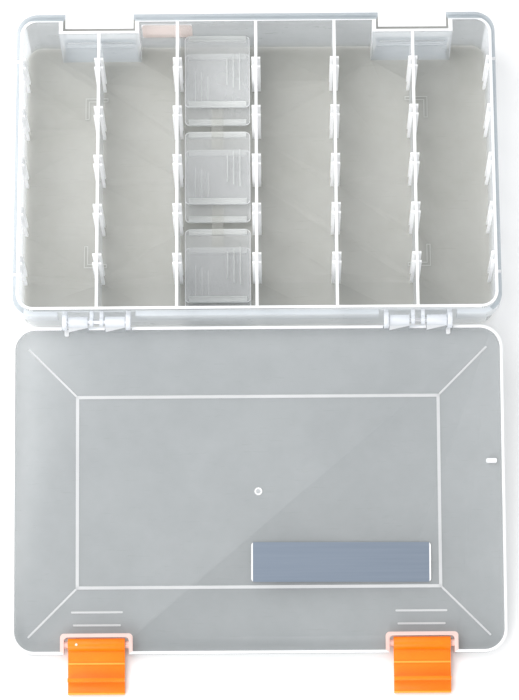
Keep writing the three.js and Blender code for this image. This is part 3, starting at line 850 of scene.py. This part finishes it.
def make_stickers():
    to_shut = LID.inverted()
    spots = [to_shut @ v.co for v in frame["nodes"]["lid_label"].data.vertices]
    least, most = ([pick(spot[axis] for spot in spots) for axis in range(3)] for pick in (min, max))
    middle = [(low + high) / 2 for low, high in zip(least, most)]
    label_size = (101.7 * MM, 22.5 * MM, most[2] - least[2])
    # end strips: white cut edge with a painted highlight
    label = sticker_blank("lid_sticker", label_size, 1.8 * MM, silver, sticker_edge_and_highlight, 0.9 * MM)
    settle(label, LID @ Matrix.Translation(middle) @ Matrix.Rotation(math.radians(0.3), 4, "Z"))
    hand_over(label, "lid", "silver_film", "lid_label")

    low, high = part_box("front_label")
    size = high - low
    tag = sticker_blank("front_sticker", (size.x, size.z, size.y), 3 * MM, paper, paper, 0.6 * MM)
    settle(tag, Matrix.Translation((low + high) / 2) @ Matrix.Rotation(math.pi / 2, 4, "X"))
    hand_over(tag, "tray", "pink_paper", "front_label")


# ---------------------------------------------------------------- carry-over with finishes
def finish_node(node, material):
    piece = frame["nodes"][node]
    if piece.material_slots:
        for slot in piece.material_slots:
            slot.material = material
    else:
        piece.data.materials.append(material)


look_from_above()
studio()

tray_floor = milky_plastic("tray_floor", (0.56, 0.56, 0.53), (0.61, 0.61, 0.585), 0.46,
                           through=(0.95, 0.95, 0.935))
tray_wall = milky_plastic("tray_wall", (0.62, 0.65, 0.67), (0.68, 0.71, 0.73), 0.37,
                          through=(0.95, 0.96, 0.965))
# lighter copy of the wall film: painted fill light on rib sides and end walls that lie in shade
side_painted_fill = milky_plastic("tray_side_painted_fill", (0.80, 0.825, 0.84), (0.86, 0.885, 0.90), 0.31,
                           through=(0.975, 0.98, 0.985))
# darker copy of the wall film: painted shade on the front wall's inner faces
front_wall_painted_shade = milky_plastic("tray_front_painted_shade", (0.36, 0.375, 0.375), (0.42, 0.435, 0.435), 0.50,
                           through=(0.84, 0.85, 0.85))
flange_top = milky_plastic("tray_flange", (0.44, 0.485, 0.52), (0.49, 0.535, 0.57), 0.66,
                           through=(0.82, 0.86, 0.89))
front_edge = milky_plastic("front_edge", (0.46, 0.50, 0.53), (0.51, 0.55, 0.58), 0.80,
                           through=(0.82, 0.86, 0.89))
# dark film: painted shadow line along the ledge in each latch recess
ledge_painted_shadow = milky_plastic("recess_ledge_painted_shadow", (0.27, 0.27, 0.25), (0.32, 0.32, 0.30), 0.80,
                           through=(0.66, 0.66, 0.64))
tag_clear = milky_plastic("tag_window", (0.93, 0.93, 0.93), (0.97, 0.97, 0.97), 0.10,
                          through=(0.99, 0.99, 0.99))
# near-white copy of the wall film: painted light on the rear wall's outer face, which lies in the lid's
# shadow
rear_wall_painted_light = milky_plastic("tray_rear_painted_light", (0.93, 0.95, 0.97), (0.97, 0.985, 1.0), 0.66,
                          through=(1.0, 1.0, 1.0), back_light=0.35)
rear_shelf = milky_plastic("rear_shelf", (0.80, 0.84, 0.88), (0.86, 0.90, 0.94), 0.62,
                           through=(0.97, 0.98, 0.99))
recess_grey = milky_plastic("recess_low", (0.50, 0.53, 0.55), (0.56, 0.59, 0.61), 0.42,
                            through=(0.92, 0.935, 0.945))
lid_panel = milky_plastic("lid_clear", (0.44, 0.46, 0.47), (0.485, 0.505, 0.515), 0.43,
                          through=(0.89, 0.90, 0.90))
# near-white, nearly opaque film: painted glow and highlight on the rims, recess sides, lid skirt edge,
# tabs, nubs, gate scar and divider edges
edge_painted_glow = milky_plastic("painted_edge_glow", (0.95, 0.95, 0.96), (0.99, 0.99, 1.0), 0.90)
# near-white, nearly opaque film: painted glow on the slot fins
fin_painted_glow = milky_plastic("slot_fin_glow", (0.985, 0.985, 0.99), (1.0, 1.0, 1.0), 0.95, back_light=0.25)
hinge_white = milky_plastic("hinge_white", (0.84, 0.87, 0.91), (0.91, 0.93, 0.96), 0.86, back_light=0.3)
# lighter film: real ridges with a painted highlight
raised_line_highlight = milky_plastic("raised_line_highlight", (0.78, 0.78, 0.79), (0.84, 0.84, 0.85), 0.72)
faint_line = milky_plastic("faint_line", (0.78, 0.78, 0.76), (0.84, 0.84, 0.82), 0.55)
rosy_edge = milky_plastic("latch_notch", (0.92, 0.66, 0.60), (0.97, 0.75, 0.70), 0.85)
divider_film = milky_plastic("divider_clear", (0.88, 0.895, 0.90), (0.94, 0.955, 0.96), 0.245,
                             through=(1.0, 1.0, 1.0), back_light=0.35)
divider_line = milky_plastic("divider_bead", (0.90, 0.90, 0.885), (0.97, 0.97, 0.955), 0.50, back_light=0.4)
tape_film = milky_plastic("tape_clear", (0.88, 0.88, 0.85), (0.94, 0.94, 0.91), 0.11,
                          through=(0.99, 0.99, 0.98))
orange = orange_plastic("orange_plastic", (1.0, 0.195, 0.002), (1.0, 0.24, 0.006))
# lighter copy of the orange: painted highlight on the latch's rib, bead and lower edge
orange_painted_highlight = orange_plastic("orange_ridge_highlight", (1.0, 0.36, 0.04), (1.0, 0.42, 0.06))
steel = pin_steel()
silver = silver_film()
paper = pale_paper()
gate_spot = milky_plastic("gate_spot", (0.95, 0.86, 0.75), (1.0, 0.93, 0.84), 0.97)
# near white: the lid label's white cut edge with a painted highlight where its ends curl
sticker_edge_and_highlight = milky_plastic("sticker_edge_and_highlight", (0.93, 0.93, 0.93), (0.99, 0.99, 0.99), 0.97)

make_tray()
make_lid()
make_dividers()
make_latches()
make_stickers()
for node in ("hinge_pin_left", "hinge_pin_right"):
    finish_node(node, steel)
for node in ("tape_front", "tape_rear"):
    finish_node(node, tape_film)
